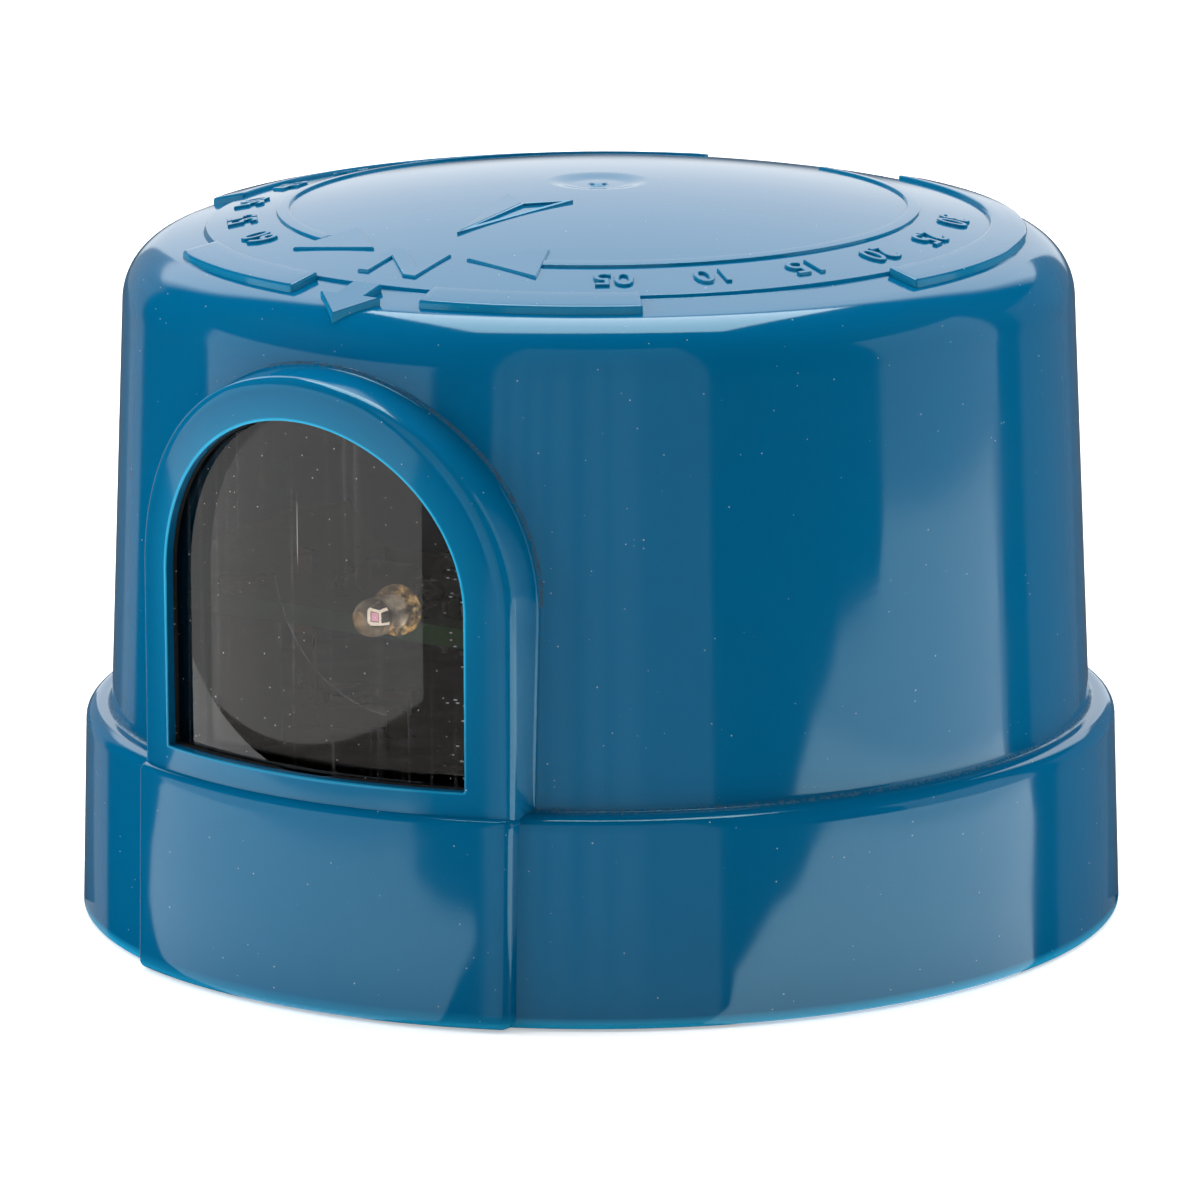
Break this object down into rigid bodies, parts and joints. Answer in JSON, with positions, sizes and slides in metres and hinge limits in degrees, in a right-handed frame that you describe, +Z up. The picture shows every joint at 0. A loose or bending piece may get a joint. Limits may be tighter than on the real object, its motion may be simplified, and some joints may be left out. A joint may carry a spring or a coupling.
{
  "type": "photocell switch",
  "caption": "Round twist-lock photocell switch: glossy blue moulded cover with an arched sensor window and crowned top, skirt below, over a plug base with locking blades.",
  "frame": {"origin": "centre of the skirt's rim, in the plane of the rim", "axes": "+Z up the axis to the crown, the window faces -Y"},
  "size_m": [0.084, 0.0852, 0.0585],
  "materials": {
    "cover_plastic": "gloss",
    "window_acrylic": "polished",
    "seal_rubber": "matte",
    "base_plastic": "satin",
    "gasket_sponge": "matte",
    "blade_brass": "satin",
    "board_laminate": "satin",
    "sensor_epoxy": "polished",
    "sensor_silicon": "gloss",
    "tinned_wire": "satin",
    "relay_case": "satin",
    "film_case": "satin",
    "filter_sleeve": "gloss",
    "arrester_coating": "gloss",
    "dropper_coating": "matte",
    "diode_epoxy": "satin",
    "zener_glass": "gloss",
    "resistor_coating": "gloss",
    "solder": "satin"
  },
  "bodies": {
    "root": {"cover": "cover_plastic", "window_pane": "window_acrylic", "window_seal": "seal_rubber", "base": "base_plastic", "gasket": "gasket_sponge", "line_blade": "blade_brass", "load_blade": "blade_brass", "neutral_blade": "blade_brass", "blade_rivets": "blade_brass", "circuit_board": "board_laminate", "light_sensor": "sensor_epoxy", "light_sensor_leads": "tinned_wire", "light_sensor_chip": "sensor_silicon", "relay": "relay_case", "relay_pins": "tinned_wire", "film_capacitor": "film_case", "film_capacitor_leads": "tinned_wire", "filter_capacitor": "filter_sleeve", "filter_capacitor_leads": "tinned_wire", "surge_arrester": "arrester_coating", "surge_arrester_leads": "tinned_wire", "dropper_resistor": "dropper_coating", "dropper_resistor_leads": "tinned_wire", "rectifier_diodes": "diode_epoxy", "rectifier_diode_leads": "tinned_wire", "zener_diode": "zener_glass", "zener_diode_leads": "tinned_wire", "bias_resistors": "resistor_coating", "bias_resistor_leads": "tinned_wire", "switching_transistor": "diode_epoxy", "switching_transistor_leads": "tinned_wire", "solder_joints": "solder"}
  },
  "joints": []
}
